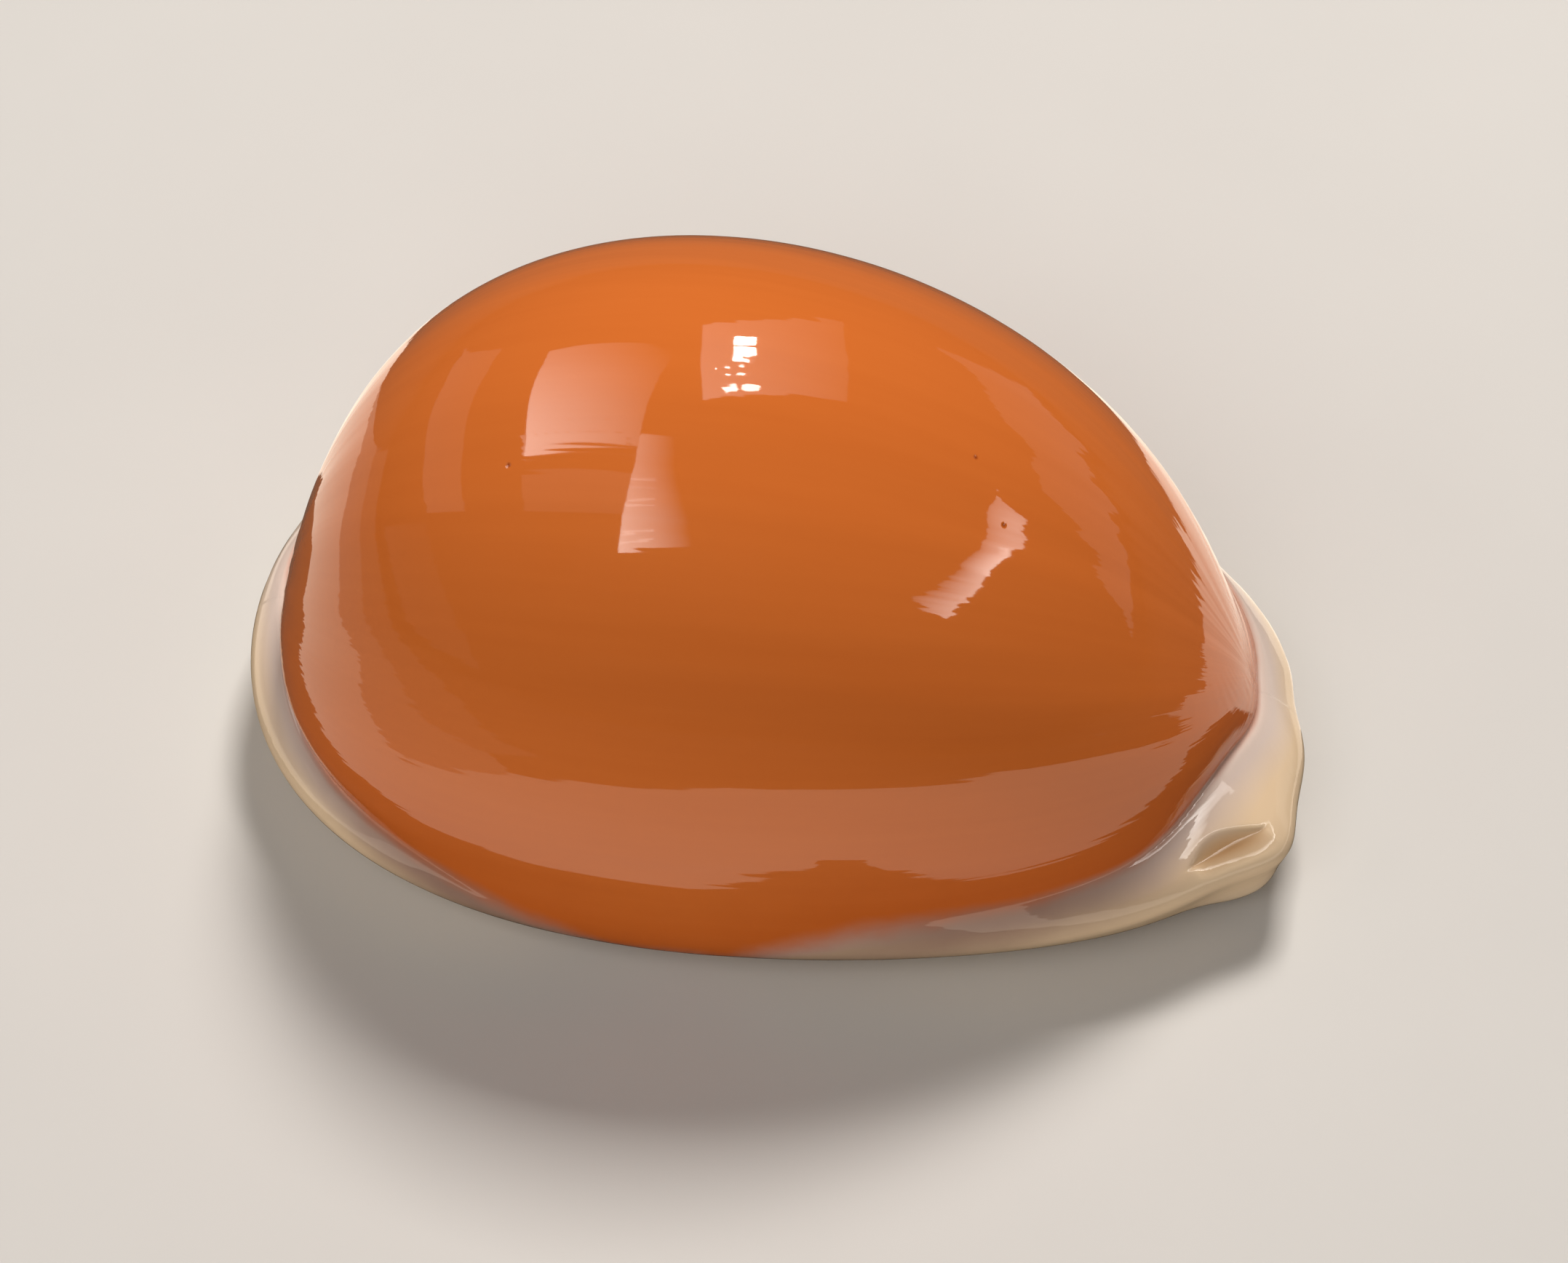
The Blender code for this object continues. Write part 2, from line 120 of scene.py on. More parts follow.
@dataclass
class ShellForm:
    """The cowrie's shape, in millimetres, as the construction has it."""

    half_length: float = 41.3
    half_width: float = 30.7
    height: float = 51.2
    waist_height: float = 14.3
    waist_softness: float = 0.39
    base_trim: float = 0.9
    base_blend: float = 1.2
    lean_back: float = 4.9
    lean_straight: float = 1.0
    front_narrowing: float = 0.054
    plan_squareness: float = 0.045
    dome_squareness: float = 0.075
    belly_squareness: float = 0.037
    rim_height: float = 8.2
    rim_rise: float = 4.75
    rim_fall: float = 10.0
    rim_underfill: float = 0.6
    rim_underfill_height: float = 3.0
    rim_side: float = 0.44
    rim_back: TurnBell = TurnBell(5.5 - rim_side, 3.11, 0.89)
    rim_front: TurnBell = TurnBell(8.2 - rim_side, -0.21, 0.65)
    rim_front_lift: float = 0.9
    rim_upper_sharpness: float = 2.4
    rim_upper_sharpness_back: float = 1.2
    rim_lower_sharpness: float = 3.5
    rim_top: float = 0.6
    rim_base_fade: tuple[float, float] = (0.25, 0.75)
    beak: TurnBell = TurnBell(1.9, -0.36, 0.10)
    lobe: TurnBell = TurnBell(0.9, 0.365, 0.22)
    recess: TurnBell = TurnBell(-0.65, 0.03, 0.10)
    slit_half_length: float = 36.0
    slit_middle_x: float = 0.5
    slit_half_width_back: float = 2.1
    slit_half_width_front: float = 3.0
    slit_side_shift: float = -2.0
    slit_back_curve: float = 0.0022
    slit_front_curve: float = 0.0010
    slit_curve_start: float = 8.0
    slit_end_squareness: int = 10
    lip_outside: float = 4.5
    lip_inside: float = 1.5
    lip_depth: float = 5.0
    canal_top: float = 10.4
    canal_mouth: float = 6.8
    canal_half_width: float = 4.2
    canal_softness: float = 0.7
    canal_reach: float = 8.0
    canal_drop_length: float = 9.0
    canal_past_slit: float = 2.0
    canal_sunk_depth: float = 6.0
    canal_left_out_below: float = -2.0
    canal_gap_limit: float = 30.0
    dome_wall: float = 2.6
    side_wall: float = 3.8
    end_wall: float = 4.6
    floor_height: float = 5.5
    columella_height: float = 4.0
    columella_offset: float = 10.0
    columella_spread: float = 4.5
    columella_fade: tuple[float, float] = (8.0, 30.0)
    box_middle_x: float = 0.76
    box_middle_y: float = 0.01

    @property
    def top(self) -> float:
        """Height of the untrimmed shell."""
        return self.height + self.base_trim

    def level(self, upright: Array) -> Array:
        """Height above the untrimmed base.

        Args:
            upright: Height of a place on the unit ball, from -1 to 1.

        Returns:
            Millimetres from 0 to the untrimmed height.
        """
        bend = np.sqrt(upright**2 + self.waist_softness**2) - self.waist_softness
        full_bend = math.hypot(1.0, self.waist_softness) - self.waist_softness
        half = self.top / 2.0
        return self.waist_height + half * upright + (half - self.waist_height) * bend / full_bend

    def lean(self, level: Array) -> Array:
        """How far a level of the dome leans towards the back end."""
        share = level / self.top
        return self.lean_back * share**2 + self.lean_straight * share

    def rim_reach(self, turn: Array) -> Solid:
        """The callus rim round the foot of the dome.

        Args:
            turn: Angles round the upright axis.

        Returns:
            How far the rim stands out, and the shares of its back and front swellings.
        """
        reach = self.rim_side + self.rim_back.at(turn) + self.rim_front.at(turn)
        reach = reach + self.beak.at(turn) + self.lobe.at(turn) + self.recess.at(turn)
        return reach, self.rim_back.shape(turn), self.rim_front.shape(turn)

    def outside(self, ball: Solid) -> Solid:
        """The outer surface over places on the unit ball.

        Args:
            ball: X, Y and Z on the ball.

        Returns:
            X, Y and Z in millimetres.
        """
        across, along, upright = ball
        turn = np.arctan2(along, across)
        level = self.level(upright)
        belt = 4.0 * (1.0 - upright**2) * upright**2
        square = 1.0 + self.plan_squareness * 4.0 * across**2 * along**2
        belly = np.where(upright > 0.0, 0.0, self.belly_squareness) * belt
        dome = np.where(upright > 0.0, self.dome_squareness, self.belly_squareness) * belt
        x = self.half_length * across * (square + belly) - self.lean(level)
        y = self.half_width * along * (1.0 - self.front_narrowing * across) * (square + dome)
        reach, back, front = self.rim_reach(turn)
        off_rim = level - self.rim_height - self.rim_front_lift * front
        sharpness = self.rim_upper_sharpness + self.rim_upper_sharpness_back * back
        upper_edge = np.exp(-((np.abs(off_rim) / self.rim_rise) ** sharpness))
        lower_edge = np.exp(-((np.abs(off_rim) / self.rim_fall) ** self.rim_lower_sharpness))
        blend = np.where(off_rim > 0.0, upper_edge, lower_edge)
        fill = bell(level, self.rim_underfill_height, self.rim_underfill_height)
        blend = blend * (1.0 + self.rim_underfill * fill)
        from_middle = smooth_step(np.hypot(across, along), *self.rim_base_fade)
        below_top = np.where(upright < self.rim_top, 1.0, 0.0)
        blend = blend * np.where(upright < 0.0, from_middle, below_top)
        normal_x = np.cos(turn) / self.half_length
        normal_y = np.sin(turn) / self.half_width
        length = np.hypot(normal_x, normal_y)
        x = x + reach * blend * normal_x / length
        y = y + reach * blend * normal_y / length
        above = level - self.base_trim
        eased = above**2 / (2.0 * self.base_blend)
        lifted = np.where(above < self.base_blend, eased, above - self.base_blend / 2.0)
        return x, y, np.where(above < 0.0, 0.0, lifted)

    def inside(self, ball: Solid) -> Solid:
        """The inner surface over places on the unit ball.

        Args:
            ball: X, Y and Z on the ball.

        Returns:
            X, Y and Z in millimetres.
        """
        across, along, upright = ball
        level = self.level(upright)
        rise = self.height - self.dome_wall - self.floor_height
        z = self.floor_height + rise * level / self.top
        square = 1.0 + self.dome_squareness * 4.0 * (1.0 - upright**2) * upright**2
        x = (self.half_length - self.end_wall) * across - self.lean(level)
        narrowing = 1.0 - self.front_narrowing * across
        y = (self.half_width - self.side_wall) * along * narrowing * square
        fold = bell(y - self.slit_middle(x), self.columella_offset, self.columella_spread)
        lower = np.where(upright < 0.0, 1.0 - smooth_step(np.abs(x), *self.columella_fade), 0.0)
        return x, y, z + self.columella_height * fold * lower

    def slit_middle(self, x: Array) -> Array:
        """The opening's middle line, which turns to the inner lip side at both ends.

        Args:
            x: Places along the shell.

        Returns:
            Y of the middle line at each place.
        """
        past = x - self.slit_curve_start
        curve = np.where(past < 0.0, self.slit_back_curve, self.slit_front_curve)
        return self.slit_side_shift + curve * past**2

    def slit_loop(self, count: int, outward: float) -> Flat:
        """The opening's outline.

        Args:
            count: Places round the outline.
            outward: Millimetres by which the outline is widened.

        Returns:
            X and Y of each place.
        """
        share = np.arange(count) / count
        along = np.where(share < 0.5, 1.0 - 4.0 * share, 4.0 * share - 3.0)
        side = np.where(share < 0.5, 1.0, -1.0)
        x = self.slit_middle_x + (self.slit_half_length + outward) * along
        widening = self.slit_half_width_front - self.slit_half_width_back
        half_width = self.slit_half_width_back + widening * (along + 1.0) / 2.0
        rounding = np.sqrt(np.clip(1.0 - np.abs(along) ** self.slit_end_squareness, 0.0, 1.0))
        return x, self.slit_middle(x) + side * (half_width + outward) * rounding

    def lift_over_canal(self, x: Array, y: Array, z: Array) -> Array:
        """Raise the base where the channels lead from the opening out through both ends.

        Args:
            x: X of the base.
            y: Y of the base.
            z: Height of the base.

        Returns:
            The raised height.
        """
        off = (y - self.slit_middle(x)) / self.canal_half_width
        past = np.abs(x - self.slit_middle_x) - self.slit_half_length
        ends = smooth_step(past, -self.canal_reach, self.canal_past_slit)
        drop = smooth_step(past, 0.0, self.canal_drop_length)
        ceiling_top = self.canal_top - (self.canal_top - self.canal_mouth) * drop
        ceiling = ceiling_top * (1.0 - off**2) * ends - self.canal_sunk_depth * (1.0 - ends)
        gap = np.clip((z - ceiling) / self.canal_softness, -self.canal_gap_limit, self.canal_gap_limit)
        lifted = ceiling + self.canal_softness * np.log1p(np.exp(gap))
        return np.where(ceiling < self.canal_left_out_below, z, lifted)


def on_ball(across: Array, along: Array, upper: bool) -> Solid:
    """Places on the unit ball above or below places on the unit disc.

    Args:
        across: The disc's X.
        along: The disc's Y.
        upper: Whether the upper half of the ball is meant.

    Returns:
        X, Y and Z on the ball.
    """
    radius = np.maximum(np.hypot(across, along), TINY)
    angle = radius * math.pi / 2.0
    ring = np.sin(angle) / radius
    return across * ring, along * ring, np.cos(angle) if upper else -np.cos(angle)


@dataclass
class Teeth:
    """The two rows of teeth that line the opening."""

    outer_lip_count: int = 26
    inner_lip_count: int = 23
    groove: float = 0.9
    fade_in: tuple[float, float] = (0.02, 0.07)
    fade_out: tuple[float, float] = (0.93, 0.98)
    crest_share: float = 0.55
    lip_fade: tuple[float, float] = (0.0, 0.5)
    throat_fade: tuple[float, float] = (0.1, 0.9)

    def wave(self, count: int) -> Flat:
        """How far each place round the opening is a tooth.

        Args:
            count: Places round the opening.

        Returns:
            1 on a tooth's crest and 0 between teeth, and the share of the full groove's depth there.
        """
        share = np.arange(count) / count
        inner_lip = share < 0.5
        along = np.where(inner_lip, share * 2.0, (share - 0.5) * 2.0)
        teeth = np.where(inner_lip, self.inner_lip_count, self.outer_lip_count)
        wave = 0.5 - 0.5 * np.cos(2.0 * math.pi * teeth * along)
        crest = smooth_step(wave, 0.0, self.crest_share)
        fade = smooth_step(along, *self.fade_in) * (1.0 - smooth_step(along, *self.fade_out))
        return crest, fade

    def side(self, count: int) -> Array:
        """1 on the inner lip and -1 on the outer lip, for each place round the opening."""
        return np.where(np.arange(count) / count < 0.5, 1.0, -1.0)


@dataclass
class Crease:
    """The orange edge round the shell: a crease at both ends, where the callus laps over the dome."""

    level: float = 12.3
    outer_dip: TurnBell = TurnBell(7.6, -1.65, 0.35, 0.28)
    inner_dip: TurnBell = TurnBell(5.0, 1.6, 0.45)
    back_sink: TurnBell = TurnBell(1.3, 2.95, 0.25)
    front_sink: TurnBell = TurnBell(0.5, 0.35, 0.45)
    front_rise: TurnBell = TurnBell(1.4, -0.36, 0.22, 0.20)
    sharp_back: TurnBell = TurnBell(1.0, 3.35, 0.75)
    sharp_front: TurnBell = TurnBell(0.8, 0.0, 0.55)
    tuck_depth: float = 0.36
    tuck_length: float = 1.7
    lip_recovery: float = 0.24
    lap_height: float = 0.03
    lap_offset: float = 0.7
    lap_width: float = 0.5

    def height_at(self, turn: Array) -> Array:
        """Where the orange ends.

        Args:
            turn: Angles round the upright axis.

        Returns:
            Height of the orange edge at each angle.
        """
        dips = self.outer_dip.at(turn) + self.inner_dip.at(turn)
        ends = self.front_rise.at(turn) - self.front_sink.at(turn) - self.back_sink.at(turn)
        return self.level - dips + ends

    def relief(self, turn: Array, above: Array) -> Array:
        """The groove and the callus edge beside it.

        Args:
            turn: Angles round the upright axis.
            above: Height above the orange edge.

        Returns:
            Millimetres along the surface's normal.
        """
        dome_side = np.exp(-np.maximum(above, 0.0) / self.tuck_length)
        callus_side = np.exp(-((np.minimum(above, 0.0) / self.lip_recovery) ** 2))
        lap = self.lap_height * bell(above, -self.lap_offset, self.lap_width)
        sharpness = self.sharp_back.at(turn) + self.sharp_front.at(turn)
        return (lap - self.tuck_depth * dome_side * callus_side) * sharpness


@dataclass
class Shoulder:
    """The fullness with which the dome comes down to the crease at both ends."""

    front: TurnBell = TurnBell(1.8, -0.15, 0.7, 0.45)
    back: TurnBell = TurnBell(1.15, -2.75, 0.5, 0.6)
    length: float = 3.4

    def push(self, turn: Array, above: Array) -> Array:
        """Millimetres by which the dome stands out, for each angle and height above the crease."""
        share = np.maximum(above, 0.0) / self.length
        return (self.front.at(turn) + self.back.at(turn)) * share * np.exp(1.0 - share)


@dataclass
class RimDimple:
    """The almond-shaped hollow on the outer lip side of the front rim."""

    turn: float = -0.48
    height: float = 10.55
    half_length: float = 3.9
    half_width: float = 1.0
    depth: float = 0.42
    turn_to_length: float = 40.0
    narrowest: float = 0.01

    def relief(self, turn: Array, z: Array) -> Array:
        """The hollow's depth.

        Args:
            turn: Angles round the upright axis.
            z: Heights.

        Returns:
            Millimetres along the surface's normal, negative in the hollow.
        """
        length = (turn - self.turn) * self.turn_to_length
        almond = np.clip(1.0 - (length / self.half_length) ** 2, 0.0, 1.0)
        across = (z - self.height) / (self.half_width * np.maximum(almond, self.narrowest))
        return -self.depth * np.sqrt(almond) * np.clip(1.0 - across**2, 0.0, 1.0)


@dataclass
class GrowthRipples:
    """Faint undulations that run along the shell, left by its growth."""

    height: float = 0.012
    widths: tuple[float, ...] = (2.3, 3.7, 5.9, 9.1)
    drift: float = 0.045
    bend_stretch: float = 4.0
    swell_stretch: float = 3.0
    swell_share: float = 0.4
    seed: int = 11

    def relief(self, x: Array, arc: Array) -> Array:
        """The ripples' height.

        Args:
            x: Places along the shell.
            arc: Places round the shell's long axis, in millimetres.

        Returns:
            Millimetres along the surface's normal.
        """
        random = np.random.default_rng(self.seed)
        total = np.zeros_like(x)
        for width in self.widths:
            phase, slant, bend = random.uniform(0.0, 2.0 * math.pi, 3)
            path = arc + self.drift * width * np.sin(x / (self.bend_stretch * width) + bend)
            wave = np.sin(2 * math.pi * path / width + phase)
            swing = np.sin(x / (self.swell_stretch * width) + slant)
            swell = 1.0 - self.swell_share + self.swell_share * swing
            total += self.height * width / self.widths[1] * swell * wave
        return total


@dataclass
class Rings:
    """Stacked rings of places, each with the stretch of wall that it lies in."""

    places: list[Array] = field(default_factory=list)
    regions: list[Region] = field(default_factory=list)

    def add(self, region: Region, places: Array) -> None:
        """Put one more ring, in millimetres, on the stack."""
        self.places.append(places)
        self.regions.append(region)


@dataclass
class CowrieShell:
    """The whole shell, grown in one piece: domed back, callus rims, toothed base and hollow inside."""

    form: ShellForm = field(default_factory=ShellForm)
    teeth: Teeth = field(default_factory=Teeth)
    crease: Crease = field(default_factory=Crease)
    shoulder: Shoulder = field(default_factory=Shoulder)
    dimple: RimDimple = field(default_factory=RimDimple)
    ripples: GrowthRipples = field(default_factory=GrowthRipples)
    around: int = 640
    dome_rings: int = 50
    waist_rings: int = 8
    crease_rings: int = 26
    base_rings: int = 22
    lip_rings: int = 12
    throat_rings: int = 6
    floor_rings: int = 5
    vault_rings: int = 14
    crest_half: float = 0.35
    end_crowding: float = 0.2
    crease_share_above: float = 0.955
    crease_share_below: float = 0.90
    search_steps: int = 40
    search_start: float = 1.5
    search_pace: float = 0.5
    search_limit: float = 0.9
    axis_height: float = 14.0
    mean_radius: float = 26.0
    far_below: float = -20.0
    relief_fade: tuple[float, float] = (3.0, 9.0)
    ripple_fade: tuple[float, float] = (-1.0, 3.0)
    blur: float = 0.9
    blur_outer_lip: float = 2.4
    blur_outer_lip_turn: float = -1.6
    blur_outer_lip_spread: float = 0.5
    blur_less_back: float = 0.75
    blur_less_front: float = 0.7
    blur_range: tuple[float, float] = (0.12, 4.0)
    # Spots round the shell where the callus turns dark mauve below the orange edge: partly its own tint,
    # partly painted shade under the dome's foot.
    mauve_and_shade_spots: tuple[tuple[float, float], ...] = ((-2.15, 0.45), (-1.0, 0.45), (1.6, 0.9))

    def circle_loop(self) -> Flat:
        """The edge of the unit disc, with places closer together at both ends.

        Returns:
            X and Y of each place.
        """
        even = 2.0 * math.pi * np.arange(self.around) / self.around
        turn = even - self.end_crowding * np.sin(2.0 * even)
        return np.cos(turn), np.sin(turn)

    def to_disc(self, x: Array, y: Array, inner: bool) -> Flat:
        """The places on the unit disc whose points of the lower surface lie over x, y.

        Args:
            x: Wanted X.
            y: Wanted Y.
            inner: Whether the inner surface is meant.

        Returns:
            X and Y on the disc, found in steps.
        """
        form = self.form
        half_length = form.half_length - (form.end_wall if inner else 0.0)
        half_width = form.half_width - (form.side_wall if inner else 0.0)
        surface = form.inside if inner else form.outside
        across = x / (self.search_start * half_length)
        along = y / (self.search_start * half_width)
        for _ in range(self.search_steps):
            near_x, near_y, _ = surface(on_ball(across, along, False))
            across = across + self.search_pace * (x - near_x) / half_length
            across = np.clip(across, -self.search_limit, self.search_limit)
            along = along + self.search_pace * (y - near_y) / half_width
        return across, along

    def upper_ball(self, share: float) -> Solid:
        """A ring on the upper half of the unit ball.

        Args:
            share: 0 at the crest line, 1 at the waist.

        Returns:
            X, Y and Z on the ball.
        """
        edge_x, edge_y = self.circle_loop()
        across = edge_x * (self.crest_half + (1.0 - self.crest_half) * share)
        return on_ball(across, edge_y * share, True)

    def lower_ball(self, start: Flat, share: float) -> Solid:
        """A ring on the lower half of the unit ball; its share is 0 at the start and 1 at the waist."""
        across, along = (inner + (edge - inner) * share for inner, edge in zip(start, self.circle_loop()))
        return on_ball(across, along, False)

    def outer_places(self, ball: Solid) -> Solid:
        """The outer surface with the full foot of the dome.

        Args:
            ball: Places on the unit ball.

        Returns:
            X, Y and Z in millimetres.
        """
        x, y, z = self.form.outside(ball)
        turn = np.arctan2(ball[1], ball[0])
        side_x, side_y = np.cos(turn) / self.form.half_length, np.sin(turn) / self.form.half_width
        push = self.shoulder.push(turn, z - self.crease.height_at(turn)) / np.hypot(side_x, side_y)
        return x + push * side_x, y + push * side_y, z

    def dome_ring(self, share: float) -> Array:
        """The places of a dome ring; its share is 0 at the crest line and 1 at the waist."""
        return np.stack(self.outer_places(self.upper_ball(share)), axis=-1)

    def add_dome(self, rings: Rings) -> None:
        """Rings from the crest line down to just above the crease."""
        for share in np.linspace(0.0, self.crease_share_above, self.dome_rings):
            rings.add(Region.DOME, self.dome_ring(share))

    def add_base(self, rings: Rings) -> None:
        """Rings from just above the crease down, under the shell and in to the start of the lips.

        Args:
            rings: The stack that they are put on.
        """
        near_waist = np.linspace(self.crease_share_above, 1.0, self.waist_rings + 1)[1:]
        for share in near_waist:
            rings.add(Region.DOME, self.dome_ring(share))
        below = np.linspace(1.0, self.crease_share_below, self.crease_rings)[1:]
        base = np.linspace(self.crease_share_below, 0.0, self.base_rings)[1:]
        start = self.to_disc(*self.form.slit_loop(self.around, self.form.lip_outside), False)
        for share in np.concatenate([below, base]):
            x, y, z = self.outer_places(self.lower_ball(start, share))
            rings.add(Region.BASE, np.stack([x, y, self.form.lift_over_canal(x, y, z)], axis=-1))

    def floor_ring(self, share: float) -> Array:
        """The places of an inner floor ring; its share is 0 at the lips and 1 at the inner waist."""
        start = self.to_disc(*self.form.slit_loop(self.around, self.form.lip_inside), True)
        return np.stack(self.form.inside(self.lower_ball(start, share)), axis=-1)

    def add_lips(self, rings: Rings) -> None:
        """Rings round the lips, from the base over the teeth to the inner floor.

        Args:
            rings: The stack that they are put on.
        """
        start = rings.places[-1]
        finish = self.floor_ring(0.0)
        x, y = self.form.slit_loop(self.around, 0.0)
        z = np.minimum(start[:, 2] + self.form.lip_depth, (start[:, 2] + finish[:, 2]) / 2.0)
        edge = np.stack([x, y, z], axis=-1)
        crest, fade = self.teeth.wave(self.around)
        side = self.teeth.side(self.around)
        groove = self.teeth.groove * (1.0 - crest) * fade
        for angle in np.linspace(0.0, math.pi / 2.0, self.lip_rings + 1)[1:]:
            ring = np.empty_like(start)
            ring[:, :2] = start[:, :2] + (edge[:, :2] - start[:, :2]) * math.sin(angle)
            ring[:, 2] = start[:, 2] + (edge[:, 2] - start[:, 2]) * (1.0 - math.cos(angle))
            depth = groove * float(smooth_step(np.array(angle), *self.teeth.lip_fade))
            ring[:, 1] += side * depth * math.sin(angle)
            ring[:, 2] += depth * math.cos(angle)
            rings.add(Region.LIP, ring)
        for angle in np.linspace(0.0, math.pi / 2.0, self.throat_rings + 1)[1:]:
            ring = np.empty_like(edge)
            ring[:, :2] = edge[:, :2] + (finish[:, :2] - edge[:, :2]) * (1.0 - math.cos(angle))
            ring[:, 2] = edge[:, 2] + (finish[:, 2] - edge[:, 2]) * math.sin(angle)
            fading = float(smooth_step(np.array(angle), *self.teeth.throat_fade))
            ring[:, 1] += side * groove * (1.0 - fading)
            rings.add(Region.THROAT, ring)

    def add_inside(self, rings: Rings) -> None:
        """Rings of the hollow, from the lips out to its waist and up to its crest.

        Args:
            rings: The stack that they are put on.
        """
        for share in np.linspace(0.0, 1.0, self.floor_rings + 1)[1:]:
            rings.add(Region.FLOOR, self.floor_ring(share))
        for share in np.linspace(1.0, 0.0, self.vault_rings + 1)[1:]:
            rings.add(Region.VAULT, np.stack(self.form.inside(self.upper_ball(share)), axis=-1))

    def stack(self) -> Rings:
        """All rings in order, from the dome's crest round the lips to the inner crest.

        Returns:
            The stacked rings.
        """
        rings = Rings()
        self.add_dome(rings)
        self.add_base(rings)
        self.add_lips(rings)
        self.add_inside(rings)
        return rings

    def numbering(self, count: int) -> Array:
        """Which vertex stands at each place of each ring; the folded end rings share theirs.

        Args:
            count: Number of rings.

        Returns:
            Vertex numbers, one row per ring.
        """
        numbers = np.arange(count * self.around).reshape(count, self.around)
        half = self.around // 2
        for ring in (0, count - 1):
            numbers[ring, half + 1 :] = numbers[ring, 1:half][::-1]
            numbers[ring, [0, half]] = numbers[ring, [1, half - 1]]
        return numbers

    def build_mesh(self) -> bpy.types.Mesh:
        """The closed mesh with its relief, in metres, and the marks that the finish reads.

        Returns:
            The new mesh.
        """
        rings = self.stack()
        numbers = self.numbering(len(rings.places))
        after = np.roll(numbers, -1, axis=1)
        quads = np.stack([numbers[:-1], numbers[1:], after[1:], after[:-1]], axis=-1).reshape(-1, 4)
        used, packed = np.unique(quads, return_inverse=True)
        faces = [tuple(dict.fromkeys(face)) for face in packed.reshape(-1, 4).tolist()]
        shift = np.array([self.form.box_middle_x, self.form.box_middle_y, 0.0])
        places = np.concatenate(rings.places)[used]
        mesh = bpy.data.meshes.new("golden_cowrie")
        mesh.from_pydata((places - shift).tolist(), [], faces)
        mesh.update()
        marks = self.marks(rings, used, places)
        normals = np.zeros(len(places) * 3, np.float32)
        mesh.vertex_normals.foreach_get("vector", normals)
        normals = normals.reshape(-1, 3)
        if (normals * (places - places.mean(axis=0)))[: self.around].sum() < 0.0:
            mesh.flip_normals()
            normals = -normals
        relieved = (places - shift + normals * marks.pop("relief")[:, None]) * MM
        mesh.vertices.foreach_set("co", relieved.astype(np.float32).ravel())
        for name, values in marks.items():
            kind = "FLOAT_VECTOR" if values.ndim == 2 else "FLOAT"
            made = mesh.attributes.new(name, kind, "POINT")
            part = "vector" if values.ndim == 2 else "value"
            made.data.foreach_set(part, values.astype(np.float32).ravel())
        mesh.shade_smooth()
        mesh.update()
        return mesh

    def edge_blur(self, turn: Array) -> Array:
        """How softly the orange ends.

        Args:
            turn: Angles round the upright axis.

        Returns:
            Millimetres over which the orange edge fades.
        """
        soft = self.blur_outer_lip * bell(turn, self.blur_outer_lip_turn, self.blur_outer_lip_spread)
        crisp_back = self.blur_less_back * self.crease.sharp_back.shape(turn)
        crisp_front = self.blur_less_front * self.crease.sharp_front.shape(turn)
        return np.clip(self.blur + soft - crisp_back - crisp_front, *self.blur_range)

    def marks(self, rings: Rings, used: Array, places: Array) -> dict[str, Array]:
        """What the finish and the relief need to know of each vertex.

        Args:
            rings: The stacked rings.
            used: The ring places that became vertices.
            places: Those places, in millimetres.

        Returns:
            Values by name: relief, orange_edge, edge_blur, the mauve tint with its painted shade, tooth,
                hollow, dimple and growth.
        """
        region = np.repeat([part.value for part in rings.regions], self.around)[used]
        outer = np.isin(region, [Region.DOME.value, Region.BASE.value])
        x, y, z = places.T
        turn = np.arctan2(y / self.form.half_width, (x + self.form.lean(z)) / self.form.half_length)
        above = np.where(outer, z - self.crease.height_at(turn), self.far_below)
        upper = np.where(region == Region.DOME.value, 1.0, smooth_step(z, *self.relief_fade)) * outer
        arc = np.arctan2(y, z - self.axis_height) * self.mean_radius
        ripple = self.ripples.relief(x, arc) * upper * smooth_step(above, *self.ripple_fade)
        dimple = self.dimple.relief(turn, z) * upper
        relief = self.crease.relief(turn, above) * upper + dimple + ripple
        crest, fade = self.teeth.wave(self.around)
        column = np.tile(np.arange(self.around), len(rings.places))[used]
        lip = np.isin(region, [Region.LIP.value, Region.THROAT.value])
        hollow = np.isin(region, [Region.FLOOR.value, Region.VAULT.value]).astype(float)
        tooth = (crest * fade)[column] * lip
        # Partly painted shade: this mask darkens the callus below the dome's foot as well as giving its mauve
        # tint.
        mauve_and_shade = np.clip(sum(bell(turn, *spot) for spot in self.mauve_and_shade_spots), 0.0, 1.0)
        growth = np.stack([x, arc, np.hypot(y, z - self.axis_height)], axis=-1)
        return {
            "relief": relief,
            "orange_edge": above,
            "edge_blur": self.edge_blur(turn),
            "mauve_and_shade": mauve_and_shade,
            "tooth": tooth,
            "hollow": hollow,
            "dimple": -dimple / self.dimple.depth,
            "growth": growth,
        }

    def build(self, finish: "EnamelFinish") -> bpy.types.Object:
        """The finished shell, in place of the plain solid.

        Args:
            finish: How the shell is coloured and polished.

        Returns:
            The new object.
        """
        shell = bpy.data.objects.new("golden_cowrie", self.build_mesh())
        bpy.context.scene.collection.objects.link(shell)
        shell.data.materials.append(finish.material())
        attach(shell, "root")
        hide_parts(NODE)
        LOG.info("shell: %d faces", len(shell.data.polygons))
        return shell


